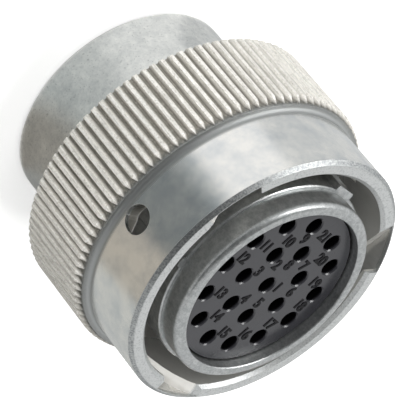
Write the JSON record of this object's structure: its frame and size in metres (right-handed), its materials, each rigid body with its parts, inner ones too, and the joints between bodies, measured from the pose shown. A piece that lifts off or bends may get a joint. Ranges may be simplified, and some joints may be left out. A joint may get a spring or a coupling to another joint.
{
  "type": "bayonet circular connector plug",
  "caption": "Circular metal-shell connector plug with a knurled quarter-turn bayonet ring, a keyed nose and socket contacts in a dark insert.",
  "frame": {"origin": "centre of the rear rim, on the plane the plug stands on", "axes": "+Z along the plug's axis, the way it is pushed to mate; +Y through the master key"},
  "size_m": [0.0544, 0.0544, 0.0476],
  "materials": {
    "shell_alloy": "satin, tumbled and clear passivated",
    "ring_alloy": "turned smooth band, matt cast-looking knurl",
    "spring_steel": "plain spring steel",
    "seal_rubber": "matt",
    "insert_plastic": "moulded, slight sheen",
    "grommet_rubber": "matt",
    "contact_gold": "gold flash over nickel"
  },
  "bodies": {
    "plug": {"plug_shell": "shell_alloy", "wave_spring": "spring_steel", "retaining_ring": "spring_steel", "peripheral_seal": "seal_rubber", "front_insert": "insert_plastic", "retention_plate": "insert_plastic", "rear_grommet": "grommet_rubber", "socket_contact_01": "contact_gold", "socket_contact_02": "contact_gold", "socket_contact_03": "contact_gold", "socket_contact_04": "contact_gold", "socket_contact_05": "contact_gold", "socket_contact_06": "contact_gold", "socket_contact_07": "contact_gold", "socket_contact_08": "contact_gold", "socket_contact_09": "contact_gold", "socket_contact_10": "contact_gold", "socket_contact_11": "contact_gold", "socket_contact_12": "contact_gold", "socket_contact_13": "contact_gold", "socket_contact_14": "contact_gold", "socket_contact_15": "contact_gold", "socket_contact_16": "contact_gold", "socket_contact_17": "contact_gold", "socket_contact_18": "contact_gold", "socket_contact_19": "contact_gold", "socket_contact_20": "contact_gold", "socket_contact_21": "contact_gold"},
    "ring_stage": {"thrust_washer": "spring_steel"},
    "ring": {"coupling_ring": "ring_alloy"}
  },
  "joints": [
    {"name": "ring_float", "type": "slide", "parent": "plug", "child": "ring_stage", "axis": [0, 0, 1], "range_m": [0, 0.0012], "stiffness_N_per_m": 6000, "springref_m": -0.002, "deforming": ["wave_spring"]},
    {"name": "ring_turn", "type": "hinge", "parent": "ring_stage", "child": "ring", "pos_m": [0, 0, 0.0308], "axis": [0, 0, 1], "continuous": true}
  ]
}
